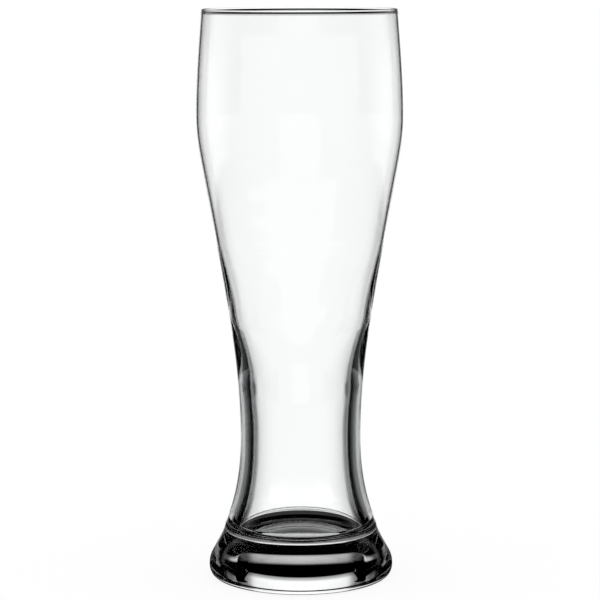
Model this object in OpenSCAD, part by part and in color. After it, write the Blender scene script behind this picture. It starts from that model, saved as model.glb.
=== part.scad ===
// Tall wheat beer glass: a blown body fused on a solid pressed foot.
// Millimetres, +Z up, origin at the centre of the ring that the glass stands on.

/* [Foot] */
// Height from the table to the line round the joint with the body
foot_height = 20.7; // [16:0.1:34]
// Outer diameter of the foot where it is widest
foot_diameter = 73.8; // [70:0.1:92]
// Height of the foot's widest line above the table
belly_height = 4.6; // [4:0.1:9]
// Outer diameter of the flat ring that stands on the table
rest_diameter = 68.2; // [54:0.1:70]
// Diameter of the round recess in the underside
recess_diameter = 37.0; // [24:0.2:46]
// Width of the sloping edge of the recess
recess_edge = 0.4; // [0.2:0.1:3]
// Height of the sloping edge of the recess
recess_step = 0.4; // [0.05:0.05:1.5]
// Rise of the recess's roof from its edge to its middle
recess_rise = 0.3; // [0.1:0.05:2.5]

/* [Body outside] */
// Outer diameter where the body meets the foot
joint_diameter = 60.8; // [54:0.2:65]
// Height from the joint up to the waist
lower_height = 35.8; // [26:0.2:60]
// Outer diameter at the waist
waist_diameter = 48; // [40:0.2:53]
// Height from the waist up to the widest line of the body
taper_height = 127.5; // [110:0.5:170]
// Outer diameter at the widest line of the body
body_diameter = 82; // [72:0.2:100]
// Height from the widest line of the body up to the rim
crown_height = 42.6; // [24:0.2:70]
// Outer diameter of the wall just under the rim
rim_diameter = 77.2; // [68:0.2:100]

/* [Dished joint] */
// Diameter of the level bottom of the dish in which the body sits
dish_diameter = 54; // [44:0.2:58]
// Depth of the dish below the line round the joint
dish_depth = 6.55; // [2:0.05:9]
// Radius of the rounded edge on each side of the fused joint
seam_radius = 0.35; // [0.1:0.05:0.8]

/* [Wall] */
// Wall thickness under the rim
rim_wall = 0.9; // [0.7:0.05:2.4]
// How far the melted rim bead stands out from the wall on each side
rim_bead = 0.07; // [0.02:0.01:0.8]
// Wall thickness at the widest line of the body
body_wall = 0.9; // [0.7:0.05:3]
// Wall thickness half way down the body
middle_wall = 1.15; // [0.7:0.05:3.5]
// Wall thickness where the body starts to grow thick
lens_wall = 2.2; // [1.2:0.1:4.5]
// Wall thickness a little above the waist
stem_wall = 4.6; // [3:0.1:9]
// Wall thickness at the waist
waist_wall = 5.0; // [3:0.1:9]
// Wall thickness near the floor of the drinking space
base_wall = 5.8; // [3:0.1:9]
// Glass between the floor of the drinking space and the bottom of the dish
floor_thickness = 2.5; // [1.2:0.1:8]
// Height of the rounded corner at the floor of the drinking space
corner_height = 4.0; // [1.5:0.1:10]
// Width of the rounded corner at the floor of the drinking space
corner_width = 6.7; // [1.5:0.1:10]
// How far the floor of the drinking space dips towards its middle
floor_dip = 0.3; // [0:0.05:1]

/* [Hidden] */

$fn = 96;

// Heights of the stations above the table.
waist_z = foot_height + lower_height;
widest_z = waist_z + taper_height;
rim_z = widest_z + crown_height;
dish_z = foot_height - dish_depth;
floor_z = dish_z + floor_thickness;

// Radii of the stations.
foot_r = foot_diameter / 2;
rest_r = rest_diameter / 2;
recess_r = recess_diameter / 2;
dish_r = dish_diameter / 2;
joint_r = joint_diameter / 2;
waist_r = waist_diameter / 2;
body_r = body_diameter / 2;
rim_r = rim_diameter / 2;

// The belly is a quarter round whose cosine and sine have these powers.
belly_side_share = 1.21;
belly_bottom_share = 0.84;
// The belly of the foot turns into the flank at this share of the height that is left above it.
flank_rise_share = 0.256;
// Share of the way in from the belly to the joint that the flank has made there.
flank_in_share = 0.147;
flank_z = belly_height + flank_rise_share * (foot_height - belly_height);
flank_r = foot_r - flank_in_share * (foot_r - joint_r);
// Slopes of the foot, as shares of the mean slope between belly and joint.
foot_slope = (joint_r - foot_r) / (foot_height - belly_height);
flank_slope = 1.26 * foot_slope;
joint_slope = 0.59 * foot_slope;
// Slope of the body where it leaves the joint, on the same scale.
neck_slope = 0.97 * foot_slope;

// The taper is almost straight between two stations, given as shares of its height and widening.
low_rise_share = 0.385;
low_out_share = 0.255;
high_rise_share = 0.845;
high_out_share = 0.86;
low_z = waist_z + low_rise_share * taper_height;
low_r = waist_r + low_out_share * (body_r - waist_r);
high_z = waist_z + high_rise_share * taper_height;
high_r = waist_r + high_out_share * (body_r - waist_r);
taper_slope = (high_r - low_r) / (high_z - low_z);
low_slope = 0.92 * taper_slope;
high_slope = 1.05 * taper_slope;
// The crown leans in most at the rim.
crown_slope = 1.45 * (rim_r - body_r) / crown_height;

// The corner at the floor of the drinking space is a quarter round whose cosine and sine have this power.
corner_share = 1.22;

// Places of the wall stations, as shares of the height of the taper above the waist.
stem_wall_share = 0.17;
lens_wall_share = 0.39;
middle_wall_share = 0.62;
stem_wall_z = waist_z + stem_wall_share * taper_height;
lens_wall_z = waist_z + lens_wall_share * taper_height;
middle_wall_z = waist_z + middle_wall_share * taper_height;
corner_z = floor_z + corner_height;
floor_r = body_inside(corner_z) - corner_width;

// Smooth curve from value r0 with slope s0 at z0 to value r1 with slope s1 at z1.
function span(z, z0, r0, s0, z1, r1, s1) =
    let (l = z1 - z0, t = (z - z0) / l)
    (2 * t * t * t - 3 * t * t + 1) * r0
    + (t * t * t - 2 * t * t + t) * l * s0
    + (3 * t * t - 2 * t * t * t) * r1
    + (t * t * t - t * t) * l * s1;

// Outer radius of the foot between its belly and the joint.
function foot_outside(z) =
    z < flank_z
    ? span(z, belly_height, foot_r, 0, flank_z, flank_r, flank_slope)
    : span(z, flank_z, flank_r, flank_slope, foot_height, joint_r, joint_slope);

// Outer radius of the body between the joint and the rim.
function body_outside(z) =
    z < waist_z
    ? span(z, foot_height, joint_r, neck_slope, waist_z, waist_r, 0)
    : z < low_z
    ? span(z, waist_z, waist_r, 0, low_z, low_r, low_slope)
    : z < high_z
    ? span(z, low_z, low_r, low_slope, high_z, high_r, high_slope)
    : z < widest_z
    ? span(z, high_z, high_r, high_slope, widest_z, body_r, 0)
    : span(z, widest_z, body_r, 0, rim_z, rim_r, crown_slope);

// Wall thickness of the body, measured level.
function wall(z) =
    z < corner_z
    ? base_wall
    : z < waist_z
    ? span(z, corner_z, base_wall, 0, waist_z, waist_wall, 0)
    : z < stem_wall_z
    ? span(z, waist_z, waist_wall, 0, stem_wall_z, stem_wall, 0)
    : z < lens_wall_z
    ? span(z, stem_wall_z, stem_wall, 0, lens_wall_z, lens_wall, 0)
    : z < middle_wall_z
    ? span(z, lens_wall_z, lens_wall, 0, middle_wall_z, middle_wall, 0)
    : z < widest_z
    ? span(z, middle_wall_z, middle_wall, 0, widest_z, body_wall, 0)
    : span(z, widest_z, body_wall, 0, rim_z, rim_wall, 0);

function body_inside(z) = body_outside(z) - wall(z);

// Evenly spaced values from a to b, both ends included.
function steps(a, b, n) = [for (i = [0 : n]) a + (b - a) * i / n];

// The rim bead is a round bar: its centre, its radius, and the angle at which the wall runs into it.
bead_r = rim_wall / 2 + rim_bead;
bead_centre_r = rim_r - rim_wall / 2;
bead_centre_z = rim_z - bead_r;
bead_angle = acos(rim_wall / 2 / bead_r);
bead_foot_z = bead_centre_z - bead_r * sin(bead_angle);

// The seam: each piece's edge at the joint is rounded over with this arc.
seam_turns = [for (a = [0 : 22.5 : 90]) a];

// Outline of the foot, from the axis at its underside round to the axis at the joint.
foot_outline = concat(
    // roof and edge of the recess in the underside
    [for (t = steps(0, 1, 12))
        [t * (recess_r - recess_edge), recess_step + recess_rise * (1 - t * t)]],
    [[recess_r, 0]],
    // flat ring, then the rounded belly
    [for (a = steps(90, 0, 18))
        [rest_r + (foot_r - rest_r) * pow(cos(a), belly_side_share),
         belly_height * (1 - pow(sin(a), belly_bottom_share))]],
    // flank up to the rounded edge of the joint
    [for (z = steps(belly_height, foot_height - seam_radius, 24))
        if (z > belly_height) [foot_outside(z), z]],
    [for (a = seam_turns)
        if (a > 0)
            [joint_r - seam_radius * (1 - cos(a)), foot_height - seam_radius * (1 - sin(a))]],
    // down the side of the dish, then in along its bottom
    [[dish_r, dish_z], [0, dish_z]]);

// Outline of the body: out along the joint, up the outside, over the rim, down the inside.
bowl_outline = concat(
    [[0, dish_z], [dish_r, dish_z]],
    [for (a = seam_turns)
        if (a < 90)
            [joint_r - seam_radius * (1 - sin(a)), foot_height + seam_radius * (1 - cos(a))]],
    [for (z = steps(foot_height + seam_radius, waist_z, 20)) [body_outside(z), z]],
    [for (z = steps(waist_z, low_z, 16)) if (z > waist_z) [body_outside(z), z]],
    [for (z = steps(low_z, high_z, 12)) if (z > low_z) [body_outside(z), z]],
    [for (z = steps(high_z, widest_z, 12)) if (z > high_z) [body_outside(z), z]],
    [for (z = steps(widest_z, bead_foot_z, 12))
        if (z > widest_z && z < bead_foot_z) [body_outside(z), z]],
    [for (a = steps(-bead_angle, 180 + bead_angle, 18))
        [bead_centre_r + bead_r * cos(a), bead_centre_z + bead_r * sin(a)]],
    [for (z = steps(bead_foot_z, widest_z, 10)) if (z < bead_foot_z) [body_inside(z), z]],
    [for (z = steps(widest_z, high_z, 10)) if (z < widest_z) [body_inside(z), z]],
    [for (z = steps(high_z, lens_wall_z, 14)) if (z < high_z) [body_inside(z), z]],
    [for (z = steps(lens_wall_z, stem_wall_z, 14)) if (z < lens_wall_z) [body_inside(z), z]],
    [for (z = steps(stem_wall_z, corner_z, 20)) if (z < stem_wall_z) [body_inside(z), z]],
    // rounded corner, then the floor of the drinking space
    [for (a = steps(0, 90, 14))
        if (a > 0)
            [body_inside(corner_z) - corner_width * (1 - pow(cos(a), corner_share)),
             corner_z - corner_height * pow(sin(a), corner_share)]],
    [for (t = steps(1, 0, 8))
        if (t < 1) [t * floor_r, floor_z - floor_dip * (1 - t * t)]]);

// Blown body with its rim, wall and floor.
module bowl() {
    color([0.86, 0.9, 0.9, 0.45])
        rotate_extrude()
            polygon(bowl_outline);
}

// Solid pressed foot.
module foot() {
    color([0.3, 0.34, 0.36, 0.8])
        rotate_extrude()
            polygon(foot_outline);
}

bowl();
foot();
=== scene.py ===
import math

import bpy
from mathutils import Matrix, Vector


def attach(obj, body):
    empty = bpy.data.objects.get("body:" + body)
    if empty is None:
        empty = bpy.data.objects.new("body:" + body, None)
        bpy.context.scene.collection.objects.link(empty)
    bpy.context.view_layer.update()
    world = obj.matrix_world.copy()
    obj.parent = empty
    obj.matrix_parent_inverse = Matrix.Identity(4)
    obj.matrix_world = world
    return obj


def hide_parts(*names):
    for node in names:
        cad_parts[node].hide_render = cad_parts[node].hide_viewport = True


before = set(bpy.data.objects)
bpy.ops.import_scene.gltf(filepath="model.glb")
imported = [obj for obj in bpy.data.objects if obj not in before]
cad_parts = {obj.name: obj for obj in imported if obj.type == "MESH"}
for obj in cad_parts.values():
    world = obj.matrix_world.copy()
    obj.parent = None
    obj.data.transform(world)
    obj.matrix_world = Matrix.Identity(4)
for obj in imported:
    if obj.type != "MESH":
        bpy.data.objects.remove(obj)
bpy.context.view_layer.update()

MM = 0.001

# Sizes of the glass in millimetres, as in the part's source.
FOOT_HEIGHT = 20.7
FOOT_R = 73.8 / 2
BELLY_Z = 4.6
REST_R = 68.2 / 2
RECESS_R = 37.0 / 2
RECESS_EDGE = 0.4
RECESS_STEP = 0.4
RECESS_RISE = 0.3
JOINT_R = 60.8 / 2
LOWER_HEIGHT = 35.8
WAIST_R = 48.0 / 2
TAPER_HEIGHT = 127.5
BODY_R = 82.0 / 2
CROWN_HEIGHT = 42.6
RIM_R = 77.2 / 2
DISH_R = 54.0 / 2
DISH_DEPTH = 6.55
SEAM_R = 0.35
RIM_WALL = 0.9
RIM_BEAD = 0.07
BODY_WALL = 0.9
MIDDLE_WALL = 1.15
LENS_WALL = 2.2
STEM_WALL = 4.6
WAIST_WALL = 5.0
BASE_WALL = 5.8
FLOOR_THICKNESS = 2.5
CORNER_HEIGHT = 4.0
CORNER_WIDTH = 6.7
FLOOR_DIP = 0.3

# Shares that place the stations between those sizes and shape the outline, as in the part's source.
BELLY_SIDE_SHARE = 1.21
BELLY_BOTTOM_SHARE = 0.84
CORNER_SHARE = 1.22
FLANK_RISE_SHARE = 0.256
FLANK_IN_SHARE = 0.147
FLANK_SLOPE_SHARE = 1.26
JOINT_SLOPE_SHARE = 0.59
NECK_SLOPE_SHARE = 0.97
LOW_RISE_SHARE = 0.385
LOW_OUT_SHARE = 0.255
LOW_SLOPE_SHARE = 0.92
HIGH_RISE_SHARE = 0.845
HIGH_OUT_SHARE = 0.86
HIGH_SLOPE_SHARE = 1.05
CROWN_SLOPE_SHARE = 1.45
STEM_WALL_SHARE = 0.17
LENS_WALL_SHARE = 0.39
MIDDLE_WALL_SHARE = 0.62

# Heights and radii of the stations.
DISH_Z = FOOT_HEIGHT - DISH_DEPTH
FLOOR_Z = DISH_Z + FLOOR_THICKNESS
CORNER_Z = FLOOR_Z + CORNER_HEIGHT
FLANK_Z = BELLY_Z + FLANK_RISE_SHARE * (FOOT_HEIGHT - BELLY_Z)
FLANK_R = FOOT_R - FLANK_IN_SHARE * (FOOT_R - JOINT_R)
WAIST_Z = FOOT_HEIGHT + LOWER_HEIGHT
LOW_Z = WAIST_Z + LOW_RISE_SHARE * TAPER_HEIGHT
LOW_R = WAIST_R + LOW_OUT_SHARE * (BODY_R - WAIST_R)
HIGH_Z = WAIST_Z + HIGH_RISE_SHARE * TAPER_HEIGHT
HIGH_R = WAIST_R + HIGH_OUT_SHARE * (BODY_R - WAIST_R)
WIDEST_Z = WAIST_Z + TAPER_HEIGHT
RIM_Z = WIDEST_Z + CROWN_HEIGHT
STEM_WALL_Z = WAIST_Z + STEM_WALL_SHARE * TAPER_HEIGHT
LENS_WALL_Z = WAIST_Z + LENS_WALL_SHARE * TAPER_HEIGHT
MIDDLE_WALL_Z = WAIST_Z + MIDDLE_WALL_SHARE * TAPER_HEIGHT

# Mean slopes of the foot's side and of the straight part of the taper.
FOOT_SLOPE = (JOINT_R - FOOT_R) / (FOOT_HEIGHT - BELLY_Z)
TAPER_SLOPE = (HIGH_R - LOW_R) / (HIGH_Z - LOW_Z)

# Stations as height, radius or wall thickness, and slope.
FOOT_OUTSIDE = [
    (BELLY_Z, FOOT_R, 0.0),
    (FLANK_Z, FLANK_R, FLANK_SLOPE_SHARE * FOOT_SLOPE),
    (FOOT_HEIGHT, JOINT_R, JOINT_SLOPE_SHARE * FOOT_SLOPE),
]
OUTSIDE = [
    (FOOT_HEIGHT, JOINT_R, NECK_SLOPE_SHARE * FOOT_SLOPE),
    (WAIST_Z, WAIST_R, 0.0),
    (LOW_Z, LOW_R, LOW_SLOPE_SHARE * TAPER_SLOPE),
    (HIGH_Z, HIGH_R, HIGH_SLOPE_SHARE * TAPER_SLOPE),
    (WIDEST_Z, BODY_R, 0.0),
    (RIM_Z, RIM_R, CROWN_SLOPE_SHARE * (RIM_R - BODY_R) / CROWN_HEIGHT),
]
WALL = [
    (CORNER_Z, BASE_WALL, 0.0),
    (WAIST_Z, WAIST_WALL, 0.0),
    (STEM_WALL_Z, STEM_WALL, 0.0),
    (LENS_WALL_Z, LENS_WALL, 0.0),
    (MIDDLE_WALL_Z, MIDDLE_WALL, 0.0),
    (WIDEST_Z, BODY_WALL, 0.0),
    (RIM_Z, RIM_WALL, 0.0),
]

# How near two values are taken as the same.
NEAR = 1e-6

# How many sides the glass has round its axis, and in how many steps each stretch of its outlines is drawn.
SIDES = 160
ROOF_STEPS = 30
BELLY_STEPS = 40
FLANK_STEPS = 60
SEAM_STEPS = 8
NECK_STEPS = 50
TAPER_STEPS = 110
CROWN_STEPS = 36
BEAD_STEPS = 22
STEM_STEPS = 40
CORNER_STEPS = 16
FLOOR_STEPS = 16


def span(z, a, b):
    """Smooth curve between two stations."""
    z0, r0, s0 = a
    z1, r1, s1 = b
    l = z1 - z0
    t = (z - z0) / l
    return (
        (2 * t**3 - 3 * t**2 + 1) * r0
        + (t**3 - 2 * t**2 + t) * l * s0
        + (3 * t**2 - 2 * t**3) * r1
        + (t**3 - t**2) * l * s1
    )


def curve(z, stations):
    z = min(max(z, stations[0][0]), stations[-1][0])
    for a, b in zip(stations, stations[1:]):
        if z <= b[0]:
            return span(z, a, b)


def outside(z):
    return curve(z, OUTSIDE)


def inside(z):
    return outside(z) - curve(z, WALL)


def steps(a, b, n):
    """Evenly spaced values from a to b, both ends included."""
    return [a + (b - a) * i / n for i in range(n + 1)]


def turns(start, end, n):
    """Sine and cosine of evenly spaced angles in degrees, both ends included."""
    angles = [math.radians(deg) for deg in steps(start, end, n)]
    return [(math.sin(a), math.cos(a)) for a in angles]


def foot_outline():
    """Radii and heights from the axis at the underside round to the axis at the joint."""
    roof_r = RECESS_R - RECESS_EDGE
    pts = [(t * roof_r, RECESS_STEP + RECESS_RISE * (1 - t * t)) for t in steps(0, 1, ROOF_STEPS)]
    pts += [(RECESS_R, 0.0), (REST_R, 0.0)]
    for s, c in turns(90, 0, BELLY_STEPS)[1:]:
        out = max(0.0, c) ** BELLY_SIDE_SHARE
        pts.append((REST_R + (FOOT_R - REST_R) * out, BELLY_Z * (1 - s**BELLY_BOTTOM_SHARE)))
    flank = steps(BELLY_Z, FOOT_HEIGHT - SEAM_R, FLANK_STEPS)
    pts += [(curve(z, FOOT_OUTSIDE), z) for z in flank[1:]]
    for s, c in turns(0, 90, SEAM_STEPS)[1:]:
        pts.append((JOINT_R - SEAM_R * (1 - c), FOOT_HEIGHT - SEAM_R * (1 - s)))
    pts += [(DISH_R, DISH_Z), (0.0, DISH_Z)]
    return pts


def bowl_outline():
    """Radii and heights along the joint, up the outside, over the rim, down the inside and along the floor."""
    pts = [(0.0, DISH_Z), (DISH_R, DISH_Z)]
    for s, c in turns(0, 90, SEAM_STEPS)[:-1]:
        pts.append((JOINT_R - SEAM_R * (1 - s), FOOT_HEIGHT + SEAM_R * (1 - c)))
    pts += [(outside(z), z) for z in steps(FOOT_HEIGHT + SEAM_R, WAIST_Z, NECK_STEPS)]
    pts += [(outside(z), z) for z in steps(WAIST_Z, WIDEST_Z, TAPER_STEPS)[1:]]
    bead_r = RIM_WALL / 2 + RIM_BEAD
    bead_centre_r = RIM_R - RIM_WALL / 2
    bead_centre_z = RIM_Z - bead_r
    bead_angle = math.degrees(math.acos(RIM_WALL / 2 / bead_r))
    bead_foot = bead_centre_z - bead_r * math.sin(math.radians(bead_angle))
    pts += [(outside(z), z) for z in steps(WIDEST_Z, bead_foot, CROWN_STEPS)[1:-1]]
    for s, c in turns(-bead_angle, 180 + bead_angle, BEAD_STEPS):
        pts.append((bead_centre_r + bead_r * c, bead_centre_z + bead_r * s))
    pts += [(inside(z), z) for z in steps(bead_foot, WIDEST_Z, CROWN_STEPS)[1:-1]]
    pts += [(inside(z), z) for z in steps(WIDEST_Z, WAIST_Z, TAPER_STEPS)]
    pts += [(inside(z), z) for z in steps(WAIST_Z, CORNER_Z, STEM_STEPS)[1:]]
    for s, c in turns(0, 90, CORNER_STEPS)[1:]:
        inward = CORNER_WIDTH * (1 - max(0.0, c) ** CORNER_SHARE)
        pts.append((inside(CORNER_Z) - inward, CORNER_Z - CORNER_HEIGHT * s**CORNER_SHARE))
    floor_r = pts[-1][0]
    pts += [(t * floor_r, FLOOR_Z - FLOOR_DIP * (1 - t * t)) for t in steps(1, 0, FLOOR_STEPS)[1:]]
    return pts


def on_joint(r, z):
    """True on the dished joint between bowl and foot."""
    on_dish = abs(z - DISH_Z) < NEAR and r < DISH_R + NEAR
    on_line = abs(z - FOOT_HEIGHT) < NEAR and r < JOINT_R - SEAM_R + NEAR
    return on_dish or on_line


def add_mesh(name, verts, faces, mats):
    """Object with a mesh of these points and faces, in metres, and these material slots."""
    mesh = bpy.data.meshes.new(name)
    mesh.from_pydata(verts, [], faces)
    for mat in mats:
        mesh.materials.append(mat)
    mesh.update()
    obj = bpy.data.objects.new(name, mesh)
    bpy.context.scene.collection.objects.link(obj)
    return obj


def lathe(name, outline, mats):
    """Closed body of revolution. The joint's faces get the second material."""
    verts = []
    rings = []
    for r, z in outline:
        if r < NEAR:
            rings.append([len(verts)])
            verts.append((0.0, 0.0, z * MM))
        else:
            rings.append(list(range(len(verts), len(verts) + SIDES)))
            for k in range(SIDES):
                a = 2 * math.pi * k / SIDES
                verts.append((r * MM * math.cos(a), r * MM * math.sin(a), z * MM))
    faces = []
    kinds = []
    for (p, q), (lo, hi) in zip(zip(outline, outline[1:]), zip(rings, rings[1:])):
        kind = 1 if on_joint(*p) and on_joint(*q) else 0
        for k in range(SIDES):
            n = (k + 1) % SIDES
            if len(lo) == 1:
                faces.append((lo[0], hi[n], hi[k]))
            elif len(hi) == 1:
                faces.append((lo[k], lo[n], hi[0]))
            else:
                faces.append((lo[k], lo[n], hi[n], hi[k]))
            kinds.append(kind)
    obj = add_mesh(name, verts, faces, mats)
    for poly, kind in zip(obj.data.polygons, kinds):
        poly.material_index = kind
        poly.use_smooth = kind == 0
    obj.data.update()
    return obj


# The glass: its refraction, and the tints of the blown body and the pressed foot.
GLASS_IOR = 1.5
BOWL_TINT = (0.985, 0.99, 0.99)
FOOT_TINT = (0.98, 0.987, 0.99)
# How much darker the melt is where it is greyest.
MELT_SHADE = 0.985
# Waves in the blown and the pressed skin: how many to the metre, and how deep in metres.
# They are drawn out upwards.
WAVE_STRETCH = (1.0, 1.0, 0.4)
WAVE_DETAIL = 1.0
BOWL_WAVE_SCALE = 40.0
BOWL_WAVE_DEPTH = 0.000008
FOOT_WAVE_SCALE = 70.0
FOOT_WAVE_DEPTH = 0.000004
# Scratches on the standing ring: how high they reach in metres, how rough they are, and how many to the metre.
WEAR_HEIGHT = 0.0001
WEAR_ROUGHNESS = 0.1
WEAR_SCALE = 900.0


def glass_material(name, tint, wave_scale, wave_depth):
    """Clear glass with faint waves in its skin, greyer here and there, and wear on the standing ring."""
    mat = bpy.data.materials.new(name)
    mat.use_nodes = True
    nt = mat.node_tree
    new = nt.nodes.new
    link = nt.links.new
    bsdf = nt.nodes["Principled BSDF"]
    bsdf.inputs["Transmission Weight"].default_value = 1.0
    bsdf.inputs["IOR"].default_value = GLASS_IOR

    place = new("ShaderNodeTexCoord")
    stretch = new("ShaderNodeMapping")
    stretch.inputs["Scale"].default_value = WAVE_STRETCH
    link(place.outputs["Object"], stretch.inputs["Vector"])
    waves = new("ShaderNodeTexNoise")
    waves.inputs["Scale"].default_value = wave_scale
    waves.inputs["Detail"].default_value = WAVE_DETAIL
    link(stretch.outputs["Vector"], waves.inputs["Vector"])
    bump = new("ShaderNodeBump")
    bump.inputs["Strength"].default_value = 1.0
    bump.inputs["Distance"].default_value = wave_depth
    link(waves.outputs["Fac"], bump.inputs["Height"])
    link(bump.outputs["Normal"], bsdf.inputs["Normal"])

    # The melt is a touch greyer in some places than in others.
    melt = new("ShaderNodeValToRGB")
    melt.color_ramp.elements[0].color = (*[c * MELT_SHADE for c in tint], 1)
    melt.color_ramp.elements[1].color = (*tint, 1)
    link(waves.outputs["Fac"], melt.inputs["Fac"])
    link(melt.outputs["Color"], bsdf.inputs["Base Color"])

    # Fine scratches where the ring rubs on tables.
    height = new("ShaderNodeSeparateXYZ")
    link(place.outputs["Object"], height.inputs[0])
    low = new("ShaderNodeMapRange")
    low.inputs["From Min"].default_value = 0.0
    low.inputs["From Max"].default_value = WEAR_HEIGHT
    low.inputs["To Min"].default_value = WEAR_ROUGHNESS
    low.inputs["To Max"].default_value = 0.0
    link(height.outputs["Z"], low.inputs["Value"])
    rub = new("ShaderNodeTexNoise")
    rub.inputs["Scale"].default_value = WEAR_SCALE
    link(place.outputs["Object"], rub.inputs["Vector"])
    worn = new("ShaderNodeMath")
    worn.operation = "MULTIPLY"
    link(low.outputs["Result"], worn.inputs[0])
    link(rub.outputs["Fac"], worn.inputs[1])
    link(worn.outputs[0], bsdf.inputs["Roughness"])
    return mat


def plain_material(name, shader):
    """Material of one shader node. Returns it with that node."""
    mat = bpy.data.materials.new(name)
    mat.use_nodes = True
    nt = mat.node_tree
    nt.nodes.remove(nt.nodes["Principled BSDF"])
    node = nt.nodes.new(shader)
    nt.links.new(node.outputs[0], nt.nodes["Material Output"].inputs["Surface"])
    return mat, node


def clear_material(name, color=(1.0, 1.0, 1.0)):
    """Lets light straight through, as much of each colour as it says."""
    mat, node = plain_material(name, "ShaderNodeBsdfTransparent")
    node.inputs["Color"].default_value = (*color, 1)
    return mat


def glow_material(name, strength):
    mat, node = plain_material(name, "ShaderNodeEmission")
    node.inputs["Strength"].default_value = strength
    return mat


blown_glass = glass_material("blown_glass", BOWL_TINT, BOWL_WAVE_SCALE, BOWL_WAVE_DEPTH)
pressed_glass = glass_material("pressed_glass", FOOT_TINT, FOOT_WAVE_SCALE, FOOT_WAVE_DEPTH)
fused_joint = clear_material("fused_joint")

bowl = lathe("bowl_glass", bowl_outline(), [blown_glass, fused_joint])
foot = lathe("foot_glass", foot_outline(), [pressed_glass, fused_joint])
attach(bowl, "root")
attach(foot, "root")
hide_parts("bowl")
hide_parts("foot")


# Camera at the photograph's angle: lengths in metres, angles in degrees, focal length in pixels.
PICTURE_WIDTH = 600.0
FOCAL_LENGTH = 2357.2
SENSOR_WIDTH = 36.0
CAMERA_SIDE = 0.00025
CAMERA_DISTANCE = 0.92917
CAMERA_OVER_RIM = 0.01776
CAMERA_PITCH = 8.141
CAMERA_ROLL = 0.15
CLIP_START = 0.01

cam_data = bpy.data.cameras.new("camera")
cam = bpy.data.objects.new("camera", cam_data)
bpy.context.scene.collection.objects.link(cam)
bpy.context.scene.camera = cam
cam_data.sensor_width = SENSOR_WIDTH
cam_data.lens = FOCAL_LENGTH * SENSOR_WIDTH / PICTURE_WIDTH
cam_data.clip_start = CLIP_START
cam.location = (CAMERA_SIDE, -CAMERA_DISTANCE, RIM_Z * MM + CAMERA_OVER_RIM)
cam.rotation_euler = (math.radians(90 - CAMERA_PITCH), math.radians(CAMERA_ROLL), 0)

# The set turns with the camera, as when a glass is turned on a table in front of a fixed set.
rig = bpy.data.objects.new("set_root", None)
bpy.context.scene.collection.objects.link(rig)
track = rig.constraints.new("LOCKED_TRACK")
track.target = cam
track.track_axis = "TRACK_NEGATIVE_Y"
track.lock_axis = "LOCK_Z"

# What the glass sees round it, as in bright field studio light: a white wall and table, and between the
# wall and the glass two black cards that leave a white opening right behind it, low black flags round its
# sides, and a grey veil on each side of the neck. In the tables below, directions (SIDE) are in degrees from
# straight behind the glass, rises (RISE) in degrees over the table, and places and lengths in metres.
# A brightness of 1 is white.
WALL_SIDE = [(0, 1.2), (5, 1.16), (9, 1.1), (14, 1.04), (18, 1.0), (20, 0.85), (22, 0.4), (24, 0.2),
             (38, 0.12), (46, 0.8), (60, 0.95), (75, 0.7), (90, 0.3), (100, 0.0), (180, 0.0)]
WALL_RISE = [(0, 1.0), (8, 0.95), (10, 0.7), (11.5, 0.5), (13, 0.42), (14.5, 0.3), (15.5, 0.0), (90, 0.0)]
# The wall's rings of points, close together where it fades.
WALL_RINGS = [0, 3, 6] + steps(8, 19, 22) + [40, 60]
SET_R = 1.6
LID_HOLE_R = 0.001

# Far from the glass, the table is as bright as the wall behind it. Nearer than this reach it has its own
# brightness by direction, and darkens towards the glass: a painted shadow of the glass, with painted light
# just under its floor.
NEAR_REACH = 0.325
NEAR_SIDE = [(0, 1.17), (5, 1.15), (9, 1.1), (14, 1.0), (18, 0.9), (20, 0.75), (22, 0.4), (25, 0.2),
             (28, 0.12), (38, 0.08), (46, 0.03), (52, 0.0), (180, 0.0)]
# Painted light and shadow on the table by reach from the axis: painted light under the glass's floor, and a
# painted shadow round the foot that fades out further off.
TABLE_LIGHT_AND_SHADOW = [(0, 0.6), (0.022, 0.65), (0.025, 0.02), (0.036, 0), (0.042, 0.05), (0.05, 0.32),
               (0.066, 0.7), (0.1, 0.95), (0.14, 1), (2, 1)]
# Half the width of the strip behind the glass that is as bright as straight behind it.
STRIP_HALF = 0.018
# Under the glass the table also goes from bright behind the axis to dark in front of it: painted light that
# comes in under the glass from behind, and painted shade in front.
UNDER_REACH = 0.036
UNDER_LIGHT_AND_SHADE = [(-0.036, 3.4), (0, 1.0), (0.003, 0.8), (0.008, 0.1), (0.012, 0), (1, 0)]
TABLE_Z = -0.00005
TABLE_HOLE_R = 0.0001
TABLE_FIRST_R = 0.004
TABLE_RINGS = 80

# Brightness comes in GLOW_LEVELS steps up to TOP_LEVEL, and the clearness of cards and flags in NET_LEVELS.
TOP_LEVEL = 1.6
GLOW_LEVELS = 40
NET_LEVELS = 20

# The cards: half the width of the opening between them by height, how clear they are by the distance outwards
# from their inner edge, and how clear they are at least by height.
CARD_Y = 0.28
CARD_FROM_X = 0.104
CARD_TO_X = 0.208
CARD_TOP = 0.3
OPENING = [(0, 0.132), (0.075, 0.128), (0.1, 0.126), (1, 0.13)]
CARD_EDGE = [(-1, 1.0), (-0.008, 0.9), (0.0, 0.5), (0.006, 0.1), (0.01, 0.0), (0.07, 0.0), (0.085, 0.8),
             (1, 1.0)]
CARD_GREY = [(0, 0.0), (0.02, 0.0), (0.04, 0.1), (0.08, 0.05), (1, 0.05)]
CARD_STEPS = (52, 60)

# The flags stand on a circle that meets the cards at this x, and are clear by height.
FLAG_MEETS_X = 0.16
FLAG_FROM_SIDE = 29
FLAG_TO_SIDE = 150
FLAG_TOP = 0.08
FLAG_CLEAR = [(0, 0.0), (0.068, 0.0), (0.08, 1.0), (1, 1.0)]
FLAG_STEPS = (60, 20)

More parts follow.
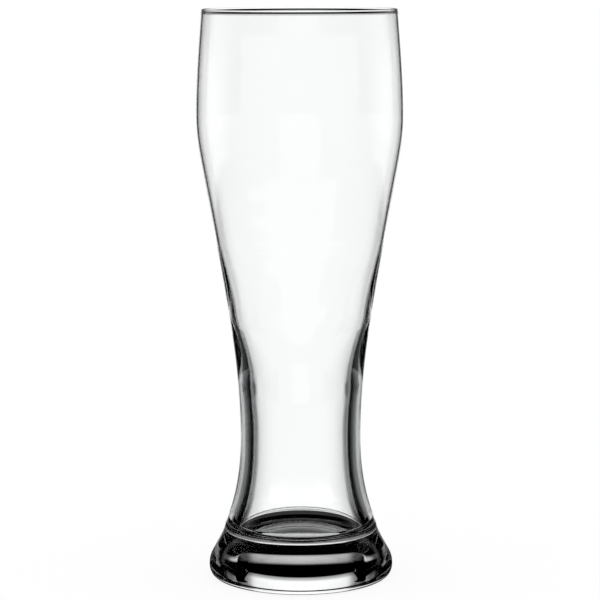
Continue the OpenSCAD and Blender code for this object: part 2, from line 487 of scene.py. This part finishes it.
# The veils stand a little behind the glass's axis and begin at the neck's outline. In millimetres.
VEIL_TINT = (0.52, 0.54, 0.55)
VEIL_Y = 7.0
VEIL_GAP = 0.15
VEIL_TO_X = 70.0
VEIL_FROM_Z = 24
VEIL_TO_Z = 96
VEIL_STEPS = 30


def ramp(x, table):
    """Value at x, straight between the table's entries."""
    for (x0, v0), (x1, v1) in zip(table, table[1:]):
        if x <= x1:
            return v0 + (v1 - v0) * (x - x0) / (x1 - x0)


def ring(r, z):
    """Row of points round the axis, one at each degree."""
    return [(r * s, r * c, z) for s, c in turns(-180, 180, 360)]


def set_sheet(name, rows, mats, level_of=None, top=1.0):
    """Sheet of the set, from rows of points. Each cell gets the material for the level at its middle."""
    w = len(rows[0])
    verts = [v for row in rows for v in row]
    faces = [
        (i * w + k, i * w + k + 1, (i + 1) * w + k + 1, (i + 1) * w + k)
        for i in range(len(rows) - 1)
        for k in range(w - 1)
    ]
    obj = add_mesh(name, verts, faces, mats)
    if level_of:
        for poly, ids in zip(obj.data.polygons, faces):
            mid = sum((Vector(verts[n]) for n in ids), Vector()) / len(ids)
            poly.material_index = round(level_of(mid) / top * (len(mats) - 1))
    obj.visible_camera = False
    obj.visible_diffuse = False
    obj.visible_shadow = False
    obj.parent = rig


def side_of(x, y):
    """Direction in degrees from straight behind the glass."""
    return math.degrees(math.atan2(x, y))


def wall_level(mid):
    rise = math.degrees(math.atan2(mid.z, SET_R))
    return ramp(abs(side_of(mid.x, mid.y)), WALL_SIDE) * ramp(rise, WALL_RISE)


# The table's brightness, with a painted shadow of the glass round the foot and painted light under it.
def table_level_with_painted_shadow(mid):
    reach = math.hypot(mid.x, mid.y)
    if reach > NEAR_REACH:
        return ramp(abs(side_of(mid.x, mid.y)), WALL_SIDE)
    if reach < UNDER_REACH:
        return ramp(reach, TABLE_LIGHT_AND_SHADOW) * ramp(-mid.y, UNDER_LIGHT_AND_SHADE)
    side = side_of(max(0.0, abs(mid.x) - STRIP_HALF), mid.y)
    return ramp(side, NEAR_SIDE) * ramp(reach, TABLE_LIGHT_AND_SHADOW)


def card_level(mid):
    past_edge = abs(mid.x) - ramp(mid.z, OPENING)
    return max(ramp(past_edge, CARD_EDGE), ramp(mid.z, CARD_GREY))


def flag_level(mid):
    return ramp(mid.z, FLAG_CLEAR)


nets = [clear_material("set_net_%02d" % n, (n / NET_LEVELS,) * 3) for n in range(NET_LEVELS + 1)]
glows = [glow_material("set_level_%02d" % n, TOP_LEVEL * n / GLOW_LEVELS) for n in range(GLOW_LEVELS + 1)]

# The wall, closed by a black lid.
wall_heights = [SET_R * math.tan(math.radians(rise)) for rise in WALL_RINGS]
wall_rows = [ring(SET_R, z) for z in wall_heights] + [ring(LID_HOLE_R, wall_heights[-1])]
set_sheet("set_wall", wall_rows, glows, wall_level, TOP_LEVEL)

# The table's rings widen each by the same factor.
widening = SET_R / TABLE_FIRST_R
table_radii = [TABLE_FIRST_R * widening ** (i / TABLE_RINGS) for i in range(TABLE_RINGS + 1)]
table_rows = [ring(r, TABLE_Z) for r in [TABLE_HOLE_R] + table_radii]
set_sheet("set_table", table_rows, glows, table_level_with_painted_shadow, TOP_LEVEL)

card_across = steps(CARD_FROM_X, CARD_TO_X, CARD_STEPS[0])
card_up = steps(0.0, CARD_TOP, CARD_STEPS[1])
flag_r = math.hypot(CARD_Y, FLAG_MEETS_X)
flag_up = steps(0.0, FLAG_TOP, FLAG_STEPS[1])
for sign, side in ((-1, "left"), (1, "right")):
    rows = [[(sign * x, CARD_Y, z) for x in card_across] for z in card_up]
    set_sheet("set_card_" + side, rows, nets, card_level)
    flag_round = turns(sign * FLAG_FROM_SIDE, sign * FLAG_TO_SIDE, FLAG_STEPS[0])
    rows = [[(flag_r * s, flag_r * c, z) for s, c in flag_round] for z in flag_up]
    set_sheet("set_flag_" + side, rows, nets, flag_level)

veil = clear_material("veil", VEIL_TINT)
for sign, side in ((-1, "left"), (1, "right")):
    rows = []
    for z in steps(VEIL_FROM_Z, VEIL_TO_Z, VEIL_STEPS):
        from_x = math.sqrt(outside(z) ** 2 - VEIL_Y**2) + VEIL_GAP
        rows.append([(sign * x * MM, VEIL_Y * MM, z * MM) for x in (from_x, VEIL_TO_X)])
    set_sheet("set_veil_" + side, rows, [veil])

# White floor that keeps a soft shadow under the glass. To the camera, most of it glows and the rest is lit,
# which together is just over white where nothing shades it. The glass sees the set's table instead.
FLOOR_HALF = 60.0
FLOOR_SHADE = 0.8
FLOOR_ROUGHNESS = 0.9
FLOOR_GLOW = 0.85
FLOOR_WHITE = 1.005

floor_mat = bpy.data.materials.new("floor")
floor_mat.use_nodes = True
nt = floor_mat.node_tree
bsdf = nt.nodes["Principled BSDF"]
bsdf.inputs["Base Color"].default_value = (FLOOR_SHADE, FLOOR_SHADE, FLOOR_SHADE, 1)
bsdf.inputs["Roughness"].default_value = FLOOR_ROUGHNESS
bsdf.inputs["Specular IOR Level"].default_value = 0.0
glow = nt.nodes.new("ShaderNodeEmission")
glow.inputs["Strength"].default_value = (FLOOR_WHITE - (1 - FLOOR_GLOW) * FLOOR_SHADE) / FLOOR_GLOW
path = nt.nodes.new("ShaderNodeLightPath")
share = nt.nodes.new("ShaderNodeMath")
share.operation = "MULTIPLY"
share.inputs[1].default_value = FLOOR_GLOW
mix = nt.nodes.new("ShaderNodeMixShader")
nt.links.new(path.outputs["Is Camera Ray"], share.inputs[0])
nt.links.new(share.outputs[0], mix.inputs["Fac"])
nt.links.new(bsdf.outputs[0], mix.inputs[1])
nt.links.new(glow.outputs[0], mix.inputs[2])
nt.links.new(mix.outputs[0], nt.nodes["Material Output"].inputs["Surface"])

floor_corners = [(x * FLOOR_HALF, y * FLOOR_HALF, 0) for x, y in ((-1, -1), (1, -1), (1, 1), (-1, 1))]
floor = add_mesh("floor", floor_corners, [(0, 1, 2, 3)], [floor_mat])
floor.visible_glossy = False
floor.visible_transmission = False

# World: plain white all round.
world = bpy.data.worlds.new("world")
bpy.context.scene.world = world
world.use_nodes = True
sky = world.node_tree.nodes["Background"]
sky.inputs["Color"].default_value = (1, 1, 1, 1)
sky.inputs["Strength"].default_value = 1.0

# Light goes back and forth many times inside thick glass.
GLASS_BOUNCES = 40
CLEAR_BOUNCES = 24
bpy.context.scene.view_settings.view_transform = "Standard"
bpy.context.scene.cycles.max_bounces = GLASS_BOUNCES
bpy.context.scene.cycles.transmission_bounces = GLASS_BOUNCES
bpy.context.scene.cycles.glossy_bounces = GLASS_BOUNCES
bpy.context.scene.cycles.transparent_max_bounces = CLEAR_BOUNCES
